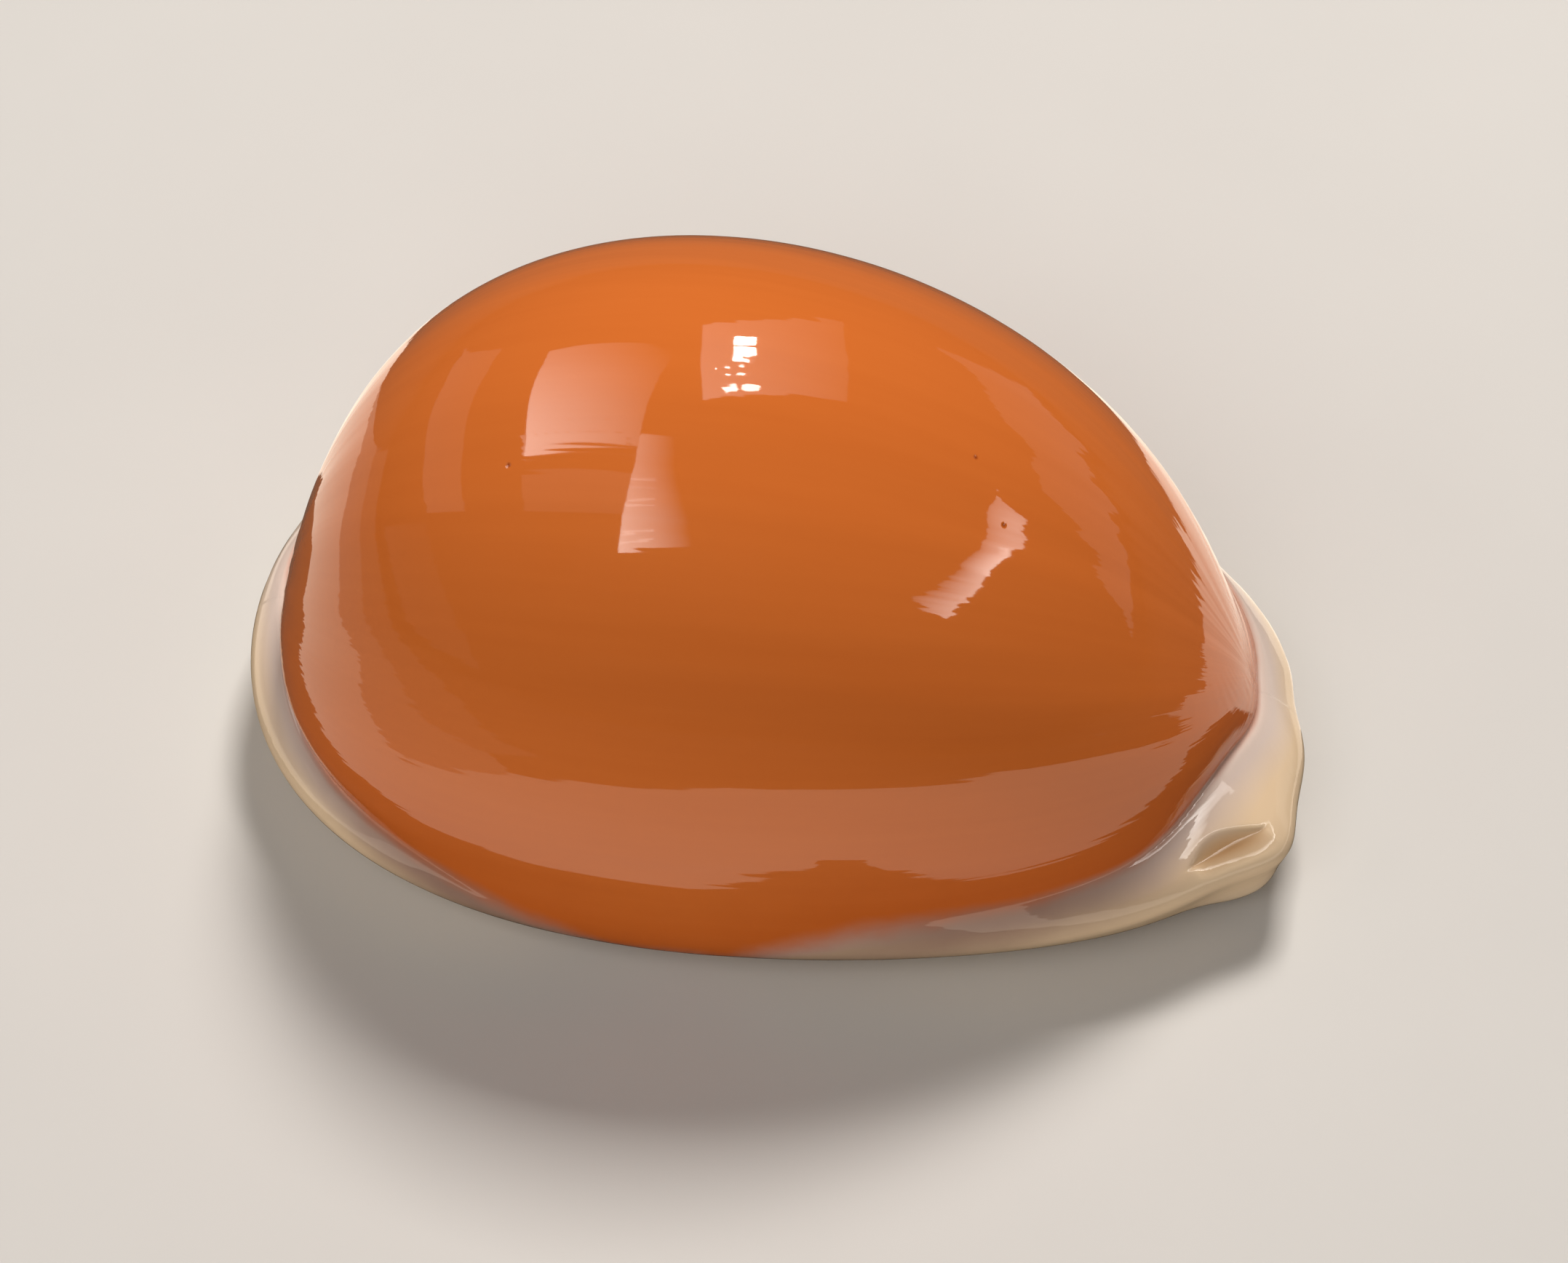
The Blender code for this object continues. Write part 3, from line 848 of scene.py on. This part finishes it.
class Sheet:
    """The nodes of one material, added and joined by name."""

    colour_mix_inputs: tuple[int, ...] = (0, 6, 7)
    colour_mix_output: int = 2

    def __init__(self, name: str) -> None:
        """Start an empty material.

        Args:
            name: The material's name.
        """
        self.material = bpy.data.materials.new(name)
        self.material.use_nodes = True
        self.tree = self.material.node_tree
        self.shader = self.tree.nodes["Principled BSDF"]

    def add(self, kind: str, settings: dict | None = None, **inputs: object) -> bpy.types.Node:
        """One node.

        Args:
            kind: The node's type.
            settings: The node's own settings.
            inputs: Values or sockets for its inputs, by name with _ for a space.

        Returns:
            The new node.
        """
        node = self.tree.nodes.new(kind)
        for name, value in (settings or {}).items():
            setattr(node, name, value)
        for name, value in inputs.items():
            self.put(node.inputs[name.replace("_", " ")], value)
        return node

    def put(self, socket: bpy.types.NodeSocket, value: object) -> None:
        """Give a socket a value or a link.

        Args:
            socket: The input.
            value: What it gets, or the output that it is linked to.
        """
        if isinstance(value, bpy.types.NodeSocket):
            self.tree.links.new(value, socket)
        else:
            socket.default_value = value

    def math(self, operation: str, *values: object, clamp: bool = False) -> bpy.types.NodeSocket:
        """The result of a sum on numbers.

        Args:
            operation: The Math node's operation.
            values: Its operands, as numbers or sockets.
            clamp: Whether the result is kept from 0 to 1.

        Returns:
            The node's result.
        """
        node = self.add("ShaderNodeMath", {"operation": operation, "use_clamp": clamp})
        for place, value in enumerate(values):
            self.put(node.inputs[place], value)
        return node.outputs[0]

    def mark(self, name: str, vector: bool = False) -> bpy.types.NodeSocket:
        """A value that the mesh carries."""
        node = self.add("ShaderNodeAttribute", {"attribute_name": name})
        return node.outputs["Vector" if vector else "Fac"]

    def mix(self, share: object, first: object, second: object) -> bpy.types.NodeSocket:
        """A colour between two colours.

        Args:
            share: 0 for the first, 1 for the second.
            first: Colour or socket.
            second: Colour or socket.

        Returns:
            The mixed colour.
        """
        node = self.add("ShaderNodeMix", {"data_type": "RGBA"})
        for place, value in zip(self.colour_mix_inputs, (share, first, second)):
            whole = (*value, 1.0) if isinstance(value, tuple) else value
            self.put(node.inputs[place], whole)
        return node.outputs[self.colour_mix_output]

    def step(self, value: object, low: float, high: float) -> bpy.types.NodeSocket:
        """An even S curve.

        Args:
            value: Number or socket.
            low: The curve is 0 here.
            high: The curve is 1 here.

        Returns:
            The curve's height.
        """
        node = self.add("ShaderNodeMapRange", {"interpolation_type": "SMOOTHSTEP"})
        for name, number in (("Value", value), ("From Min", low), ("From Max", high)):
            self.put(node.inputs[name], number)
        return node.outputs["Result"]

    def noise(self, place: object, scale: float, detail: float) -> bpy.types.NodeSocket:
        """A cloud of values about one half, scale clouds to the unit, with detail octaves."""
        node = self.add("ShaderNodeTexNoise", Vector=place, Scale=scale, Detail=detail, Roughness=0.5)
        return node.outputs["Fac"]

    def stretched(self, place: object, scale: Place) -> bpy.types.NodeSocket:
        """Coordinates drawn out along each axis.

        Args:
            place: The coordinates.
            scale: The factor for each axis.

        Returns:
            The new coordinates.
        """
        node = self.add("ShaderNodeVectorMath", {"operation": "MULTIPLY"})
        self.put(node.inputs[0], place)
        self.put(node.inputs[1], scale)
        return node.outputs[0]

    def ramp(self, value: object, stops: list[tuple[float, Colour]]) -> bpy.types.NodeSocket:
        """A colour read off a row of stops.

        Args:
            value: Where to read it, from 0 to 1.
            stops: Place and colour of each stop.

        Returns:
            The colour.
        """
        node = self.add("ShaderNodeValToRGB", Fac=value)
        elements = node.color_ramp.elements
        while len(elements) < len(stops):
            elements.new(0.5)
        for element, (place, colour) in zip(elements, stops):
            element.position = place
            element.color = (*colour, 1.0)
        return node.outputs["Color"]


@dataclass(frozen=True)
class EnamelFinish:
    """Natural glossy enamel: orange back, mauve to cream callus whose dark mauve is partly painted shade,
    orange teeth and a pale inside.
    """

    back_bright: Colour = (0.76, 0.190, 0.034)
    back_deep: Colour = (0.60, 0.120, 0.014)
    # Partly the callus's own mauve, partly painted shade under the dome's foot.
    mauve_and_shade: Colour = (0.37, 0.225, 0.17)
    # Painted shade: the darker tan inside the rim dimple.
    painted_dimple_shade: Colour = (0.50, 0.29, 0.14)
    cream: Colour = (0.90, 0.68, 0.45)
    tooth: Colour = (0.62, 0.16, 0.03)
    hollow: Colour = (0.55, 0.53, 0.55)
    base: Colour = (0.76, 0.62, 0.46)
    lilac: Colour = (0.80, 0.66, 0.58)
    roughness: float = 0.035
    refraction: float = 1.5
    streak_height: float = 0.000014
    pit: Colour = (0.34, 0.055, 0.008)
    pit_share: float = 3.0
    pit_places: tuple[Place, ...] = ((17.0, -3.9, 43.6), (19.9, -8.3, 40.6), (-20.7, -11.0, 45.1))
    pit_radius: float = 0.32
    callus_span: float = 12.0
    lilac_until: float = 0.07
    cream_from: float = 0.20
    cream_until: float = 0.60
    mauve_and_shade_span: tuple[float, float] = (-5.5, -0.5)
    wander_scale: float = 220.0
    streak_stretch: Place = (0.03, 1.0, 0.0)
    streak_scale: float = 1.2
    streak_detail: float = 1.5
    cloud_stretch: Place = (0.02, 0.09, 0.0)
    cloud_weight: float = 0.35
    thread_stretch: Place = (0.04, 0.7, 0.0)
    thread_weight: float = 0.25
    middle_weight: float = 0.10
    detail: float = 3.0
    foot_span: tuple[float, float] = (14.0, -2.0)
    foot_weight: float = 0.6

    def callus_colour(self, sheet: Sheet, depth: object) -> bpy.types.NodeSocket:
        """Colours of the rim and base below the orange edge.

        Args:
            sheet: The material's nodes.
            depth: Millimetres below the orange edge.

        Returns:
            The colour.
        """
        share = sheet.math("DIVIDE", depth, self.callus_span, clamp=True)
        lilac = [(0.0, self.lilac), (self.lilac_until, self.lilac)]
        cream = [(self.cream_from, self.cream), (self.cream_until, self.cream)]
        return sheet.ramp(share, [*lilac, *cream, (1.0, self.base)])

    def back_colour(self, sheet: Sheet, growth: object, edge: object) -> bpy.types.NodeSocket:
        """Orange of the back, which deepens in clouds, in threads and towards its foot.

        Args:
            sheet: The material's nodes.
            growth: Coordinates along and round the shell.
            edge: Millimetres above the orange edge.

        Returns:
            The colour.
        """
        clouds = sheet.noise(sheet.stretched(growth, self.cloud_stretch), 1.0, self.detail)
        threads = sheet.noise(sheet.stretched(growth, self.thread_stretch), 1.0, self.detail)
        clouds = sheet.math("MULTIPLY", clouds, self.cloud_weight)
        threads = sheet.math("MULTIPLY", threads, self.thread_weight)
        varied = sheet.math("SUBTRACT", sheet.math("ADD", clouds, threads), self.middle_weight)
        foot = sheet.math("MULTIPLY", sheet.step(edge, *self.foot_span), self.foot_weight)
        return sheet.mix(sheet.math("ADD", varied, foot, clamp=True), self.back_bright, self.back_deep)

    def pit_depth(self, sheet: Sheet, place: object) -> bpy.types.NodeSocket:
        """The few pin-prick pits of the back.

        Args:
            sheet: The material's nodes.
            place: Object coordinates.

        Returns:
            1 in a pit's middle and 0 outside the pits.
        """
        total = 0.0
        for middle in self.pit_places:
            away = sheet.add("ShaderNodeVectorMath", {"operation": "DISTANCE"})
            sheet.put(away.inputs[0], place)
            sheet.put(away.inputs[1], tuple(part * MM for part in middle))
            total = sheet.math("ADD", sheet.step(away.outputs["Value"], self.pit_radius * MM, 0.0), total)
        return total

    def material(self) -> bpy.types.Material:
        """The shell's material.

        Returns:
            The new material.
        """
        sheet = Sheet("cowrie_enamel")
        object_place = sheet.add("ShaderNodeTexCoord").outputs["Object"]
        growth = sheet.mark("growth", vector=True)
        blur = sheet.mark("edge_blur")
        wander = sheet.math("SUBTRACT", sheet.noise(object_place, self.wander_scale, self.detail), 0.5)
        edge = sheet.math("ADD", sheet.mark("orange_edge"), sheet.math("MULTIPLY", wander, blur))
        sharpened = sheet.math("DIVIDE", edge, blur)
        callus = self.callus_colour(sheet, sheet.math("MULTIPLY", edge, -1.0))
        # Painted shade in part: the dark mauve that the callus takes below the orange edge stands partly for
        # the shade under the dome's foot.
        near = sheet.step(sharpened, *self.mauve_and_shade_span)
        callus = sheet.mix(sheet.math("MULTIPLY", near, sheet.mark("mauve_and_shade")), callus, self.mauve_and_shade)
        # Painted shade: the rim dimple's hollow is coloured a darker tan.
        callus = sheet.mix(sheet.mark("dimple"), callus, self.painted_dimple_shade)
        colour = sheet.mix(sheet.step(sharpened, -1.0, 1.0), callus, self.back_colour(sheet, growth, edge))
        colour = sheet.mix(sheet.mark("tooth"), colour, self.tooth)
        colour = sheet.mix(sheet.mark("hollow"), colour, self.hollow)
        pits = self.pit_depth(sheet, object_place)
        streaks = sheet.stretched(growth, self.streak_stretch)
        streaks = sheet.noise(streaks, self.streak_scale, self.streak_detail)
        height = sheet.math("SUBTRACT", streaks, sheet.math("MULTIPLY", pits, self.pit_share))
        bump = sheet.add("ShaderNodeBump", Height=height, Strength=1.0, Distance=self.streak_height)
        shader = sheet.shader.inputs
        sheet.put(shader["Base Color"], sheet.mix(pits, colour, self.pit))
        sheet.put(shader["Normal"], bump.outputs["Normal"])
        shader["Roughness"].default_value = self.roughness
        shader["IOR"].default_value = self.refraction
        return sheet.material


@dataclass(frozen=True)
class FloorFinish:
    """A plain pale matt floor."""

    colour: Colour = (0.74, 0.73, 0.71)
    mirrored_colour: Colour = (0.10, 0.085, 0.07)
    shade_share: float = 0.96
    cloud_scale: float = 40.0
    detail: float = 3.0

    def material(self) -> bpy.types.Material:
        """The floor's material, which the shell mirrors much darker than the camera sees it.

        Returns:
            The new material.
        """
        sheet = Sheet("pale_floor")
        place = sheet.add("ShaderNodeTexCoord").outputs["Object"]
        shade = tuple(part * self.shade_share for part in self.colour)
        colour = sheet.mix(sheet.noise(place, self.cloud_scale, self.detail), self.colour, shade)
        mirrored = sheet.add("ShaderNodeLightPath").outputs["Is Glossy Ray"]
        sheet.put(sheet.shader.inputs["Base Color"], sheet.mix(mirrored, colour, self.mirrored_colour))
        sheet.shader.inputs["Roughness"].default_value = 1.0
        sheet.shader.inputs["Specular IOR Level"].default_value = 0.0
        return sheet.material


def glow_material(name: str, colour: Colour, radiance: float | str) -> bpy.types.Material:
    """A black surface that glows.

    Args:
        name: The material's name.
        colour: Colour of the glow.
        radiance: Its strength, or the name of the mark that holds it.

    Returns:
        The new material.
    """
    sheet = Sheet(name)
    shader = sheet.shader.inputs
    shader["Base Color"].default_value = (0.0, 0.0, 0.0, 1.0)
    shader["Emission Color"].default_value = (*colour, 1.0)
    sheet.put(shader["Emission Strength"], sheet.mark(radiance) if isinstance(radiance, str) else radiance)
    return sheet.material


def towards(azimuth: float, elevation: float) -> Vector:
    """The unit vector towards a direction, in degrees: azimuth 0 is -Y and 90 is +X."""
    turn, tilt = math.radians(azimuth), math.radians(elevation)
    return Vector((math.sin(turn) * math.cos(tilt), -math.cos(turn) * math.cos(tilt), math.sin(tilt)))


def show_in_gloss_only(thing: bpy.types.Object) -> None:
    """Let nothing but reflections show an object."""
    for ray in ("camera", "diffuse", "shadow", "transmission", "volume_scatter"):
        setattr(thing, f"visible_{ray}", False)


@dataclass(frozen=True)
class GlowPanel:
    """A four-cornered glow: azimuth, elevation and share of the radiance at each corner."""

    name: str
    corners: tuple[Place, ...]
    radiance: float
    steps: int = 10

    def places(self) -> list[tuple[Vector, float]]:
        """Points of the panel on the unit ball, each with its own radiance.

        Returns:
            Rows of steps + 1 points, from the first two corners to the last two.
        """
        ends = []
        for azimuth, elevation, glow in self.corners:
            ends.append((towards(azimuth, elevation), glow * self.radiance))
        made = []
        for row in range(self.steps + 1):
            down = row / self.steps
            for column in range(self.steps + 1):
                along = column / self.steps
                shares = ((1 - along) * (1 - down), along * (1 - down), along * down, (1 - along) * down)
                place = sum((end[0] * share for end, share in zip(ends, shares)), Vector())
                glow = sum(end[1] * share for end, share in zip(ends, shares))
                made.append((place.normalized(), glow))
        return made


@dataclass(frozen=True)
class GlowPanels:
    """Glowing panels that paint the room's reflections; only polished surfaces show them."""

    panels: tuple[GlowPanel, ...]
    distance: float = 0.5
    colour: Colour = (1.0, 0.94, 0.87)

    def build(self, aim: Vector) -> bpy.types.Object:
        """The panels round their aim, as one object.

        Args:
            aim: The point that the directions start from, in metres.

        Returns:
            The panels' object.
        """
        places, glows, faces = [], [], []
        for panel in self.panels:
            start, width = len(places), panel.steps + 1
            for place, glow in panel.places():
                places.append(aim + place * self.distance)
                glows.append(glow)
            for row in range(panel.steps):
                for column in range(panel.steps):
                    first = start + row * width + column
                    faces.append((first, first + 1, first + width + 1, first + width))
        mesh = bpy.data.meshes.new("glow_panels")
        mesh.from_pydata(places, [], faces)
        mesh.attributes.new("glow", "FLOAT", "POINT").data.foreach_set("value", glows)
        mesh.materials.append(glow_material("glow_panels", self.colour, "glow"))
        made = bpy.data.objects.new("glow_panels", mesh)
        show_in_gloss_only(made)
        bpy.context.scene.collection.objects.link(made)
        LOG.info("glow panels: %s", ", ".join(panel.name for panel in self.panels))
        return made


BACK_EDGE: Outline = (
    (-80.0, 62.0), (-128.0, 62.0), (-125.0, 2.0), (-110.0, -31.0), (-87.0, -40.0), (-63.0, -47.0),
    (-49.0, -76.0),
)
DIM_EDGE: Outline = ((-70.0, -90.0), (-120.0, -75.0), (-190.0, -40.0), (-230.0, 10.0), (-240.0, 110.0))


@dataclass(frozen=True)
class MirroredSheet:
    """A glowing sheet that paints the reflection of a lit part of the table, with a painted shadow of the
    shell cut out of it.
    """

    radiance: float = 1.3
    colour: Colour = (1.0, 0.84, 0.68)
    height: float = 0.2
    name: str = "mirrored_sheet"
    outer: Outline = (
        (-30.0, 46.0), *BACK_EDGE, (-15.0, -96.0), (28.0, -129.0), (130.0, -170.0), (240.0, -225.0),
        (300.0, -185.0), (310.0, -110.0), (258.0, -58.0), (192.0, -12.0), (160.0, 26.0), (120.0, 31.0),
        (88.0, 43.0), (70.0, 48.0), (52.0, 58.0), (36.0, 52.0),
    )
    # Painted shadow: a fixed outline cut out of the glow where the shell's shadow would lie on the table.
    shadow: Outline = (
        (-57.0, 28.0), (-75.0, 18.0), (-72.0, 2.0), (-67.0, -12.0), (-60.0, -24.0), (-55.0, -32.0),
        (-44.0, -39.5), (-33.0, -44.5), (-20.0, -46.5), (-5.0, -47.5), (10.0, -52.0), (13.0, -56.0),
        (19.0, -55.0), (21.0, -51.5), (30.0, -48.0), (47.0, -42.5), (64.0, -36.0), (79.0, -27.0),
        (91.0, -18.0), (101.0, -7.0), (85.0, 7.0), (71.0, 11.0), (50.0, 7.0), (0.0, 0.0),
    )

    def build(self) -> bpy.types.Object:
        """The sheet, which only reflections show.

        Returns:
            The sheet's object.
        """
        curve = bpy.data.curves.new(self.name, "CURVE")
        curve.dimensions = "2D"
        curve.fill_mode = "BOTH"
        for outline in filter(None, (self.outer, self.shadow)):
            spline = curve.splines.new("POLY")
            spline.points.add(len(outline) - 1)
            for point, (x, y) in zip(spline.points, outline):
                point.co = (x * MM, y * MM, 0.0, 1.0)
            spline.use_cyclic_u = True
        made = bpy.data.objects.new(self.name, curve)
        mesh = bpy.data.meshes.new_from_object(made)
        sheet_object = bpy.data.objects.new(self.name, mesh)
        bpy.data.objects.remove(made)
        sheet_object.location.z = self.height * MM
        mesh.materials.append(glow_material(self.name, self.colour, self.radiance))
        show_in_gloss_only(sheet_object)
        bpy.context.scene.collection.objects.link(sheet_object)
        return sheet_object


@dataclass(frozen=True)
class SoftBox:
    """One rectangular soft light, placed by the direction in which the shell sees it."""

    name: str
    azimuth: float
    elevation: float
    distance: float
    width: float
    height: float
    radiance: float
    colour: Colour

    def build(self, aim: Vector) -> bpy.types.Object:
        """Put the light up, turned towards its aim and kept out of reflections.

        Args:
            aim: Where it shines, in metres.

        Returns:
            The light's object.
        """
        light = bpy.data.lights.new(self.name, "AREA")
        light.shape = "RECTANGLE"
        light.size = self.width
        light.size_y = self.height
        light.energy = self.radiance * math.pi * self.width * self.height
        light.color = self.colour
        lamp = bpy.data.objects.new(self.name, light)
        away = towards(self.azimuth, self.elevation)
        lamp.location = aim + away * self.distance
        lamp.rotation_euler = away.to_track_quat("Z", "Y").to_euler()
        lamp.visible_camera = False
        lamp.visible_glossy = False
        bpy.context.scene.collection.objects.link(lamp)
        return lamp


@dataclass
class Studio:
    """The pale floor, the soft lights, the glowing shapes that the gloss shows, and the camera."""

    floor_half: float = 1.5
    target: Place = (-0.76, -0.01, 22.0)
    azimuth: float = 7.75
    elevation: float = 50.04
    camera_distance: float = 400.4
    lens: float = 105.91
    sensor_width: float = 36.0
    nearest: float = 0.01
    aim_right: float = 1.307
    aim_down: float = 5.45
    world_colour: Colour = (0.022, 0.022, 0.023)
    sheets: tuple[MirroredSheet, ...] = (
        MirroredSheet(),
        MirroredSheet(0.55, name="dim_sheet", shadow=(), outer=(*BACK_EDGE, *DIM_EDGE)),
        MirroredSheet(0.28, name="far_sheet", shadow=(), outer=(
            *reversed(DIM_EDGE), (-60.0, -115.0), (-160.0, -150.0), (-600.0, -130.0), (-700.0, 300.0),
        )),
    )
    panels: GlowPanels = GlowPanels((
        GlowPanel("wall", ((-134, 35, 0.25), (-162, 55, 0.0), (-64, 72, 0.25), (-86, 46, 1.0)), 7.6),
        GlowPanel("wall_foot", ((-92, 44, 0.6), (-100, 66, 0.1), (-64, 72, 0.2), (-86, 46, 1.0)), 3.0),
        GlowPanel("wall_shade", ((-81, 45, 1.0), (-54, 69, 1.0), (-34, 58, 0.7), (-65, 42, 0.7)), 0.5),
        GlowPanel("strip", ((-76, 74, 0.3), (-57, 80, 0.0), (-5, 57, 0.0), (-28, 48, 1.0)), 8.5),
        GlowPanel("strip_core", ((-54, 69, 0.6), (-43, 73, 0.3), (-18, 53, 0.7), (-28, 48, 1.0)), 10.5),
        GlowPanel("window_tall", ((180, 47, 1.0), (175, 45, 1.0), (171, 56, 1.0), (178, 58, 1.0)), 50.0, 2),
        GlowPanel("window_left", ((-176, 61, 1.0), (177, 60, 1.0), (175, 65, 1.0), (-176, 66, 1.0)), 50.0, 2),
        GlowPanel("window_right", ((176, 59, 1.0), (172, 57, 1.0), (169, 63, 1.0), (174, 65, 1.0)), 45.0, 2),
        GlowPanel("window_sill", ((-178, 72, 1.0), (161, 66, 0.8), (158, 68, 0.8), (179, 75, 1.0)), 30.0, 2),
        GlowPanel("window_top", ((175, 42, 1.0), (173, 40, 1.0), (172, 43, 1.0), (175, 45, 1.0)), 30.0, 2),
        GlowPanel("window_glow", ((-172, 41, 0.5), (166, 24, 0.1), (139, 54, 0.2), (-163, 79, 0.9)), 3.2),
        GlowPanel("slant_top", ((109, 33, 0.3), (103, 27, 0.5), (93, 32, 1.0), (90, 37, 0.2)), 8.5),
        GlowPanel("slant_middle", ((90, 37, 0.1), (97, 31, 1.0), (80, 32, 1.0), (74, 37, 0.1)), 10.5),
        GlowPanel("slant_foot", ((74, 37, 0.1), (80, 32, 0.9), (60, 32, 0.7), (55, 38, 0.1)), 9.0),
        GlowPanel("right_haze", ((157, 13, 0.6), (120, 20, 0.8), (100, 2, 1.0), (150, 2, 0.8)), 0.5),
        GlowPanel("left_haze", ((-134, 6, 0.7), (-132, 20, 0.7), (-79, 28, 1.0), (-88, 17, 1.0)), 0.5),
        GlowPanel("low_haze", ((-95, 2, 1.0), (-85, 16, 0.6), (-54, 11, 1.0), (-45, 2, 1.0)), 0.15),
    ))
    lights: tuple[SoftBox, ...] = (
        SoftBox("key", 171.0, 57.0, 0.9, 0.26, 0.26, 34.0, (1.0, 0.94, 0.88)),
        SoftBox("front_top", -14.0, 50.0, 1.0, 0.7, 0.5, 2.6, (1.0, 0.95, 0.9)),
        SoftBox("front_fill", -5.0, 14.0, 0.8, 0.6, 0.3, 1.25, (1.0, 0.95, 0.9)),
        SoftBox("left_fill", -68.0, 30.0, 0.9, 0.5, 0.4, 1.1, (1.0, 0.94, 0.88)),
    )

    def build_floor(self) -> bpy.types.Object:
        """The plain floor under the shell.

        Returns:
            The floor's object.
        """
        half = self.floor_half
        mesh = bpy.data.meshes.new("pale_floor")
        corners = [(-half, -half, 0.0), (half, -half, 0.0), (half, half, 0.0), (-half, half, 0.0)]
        mesh.from_pydata(corners, [], [(0, 1, 2, 3)])
        floor = bpy.data.objects.new("pale_floor", mesh)
        floor.data.materials.append(FloorFinish().material())
        bpy.context.scene.collection.objects.link(floor)
        return floor

    def build_world(self) -> None:
        """The dim, even surroundings."""
        world = bpy.data.worlds.new("studio")
        world.use_nodes = True
        background = world.node_tree.nodes["Background"]
        background.inputs["Color"].default_value = (*self.world_colour, 1.0)
        bpy.context.scene.world = world

    def build_camera(self) -> bpy.types.Object:
        """The camera at the photograph's viewing angle.

        Returns:
            The camera's object.
        """
        turn = math.radians(self.azimuth)
        back = towards(self.azimuth, self.elevation)
        right = Vector((math.cos(turn), math.sin(turn), 0.0))
        up = back.cross(right)
        target = Vector(self.target)
        eye = target + back * self.camera_distance
        aim = target + right * self.aim_right - up * self.aim_down
        data = bpy.data.cameras.new("camera")
        data.lens = self.lens
        data.sensor_width = self.sensor_width
        data.clip_start = self.nearest
        camera = bpy.data.objects.new("camera", data)
        camera.location = eye * MM
        camera.rotation_euler = (eye - aim).to_track_quat("Z", "Y").to_euler()
        bpy.context.scene.collection.objects.link(camera)
        bpy.context.scene.camera = camera
        return camera

    def build(self) -> None:
        """Everything round the shell."""
        self.build_floor()
        self.build_world()
        for sheet in self.sheets:
            sheet.build()
        aim = Vector(self.target) * MM
        self.panels.build(aim)
        for light in self.lights:
            light.build(aim)
        self.build_camera()
        bpy.context.scene.view_settings.view_transform = "Standard"
        LOG.info("studio: %d soft lights", len(self.lights))


def main() -> None:
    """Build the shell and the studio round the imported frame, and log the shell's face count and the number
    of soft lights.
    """
    logging.basicConfig(level=logging.INFO, format="%(name)s: %(message)s")
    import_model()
    CowrieShell().build(EnamelFinish())
    Studio().build()


if __name__ == "__main__":
    main()
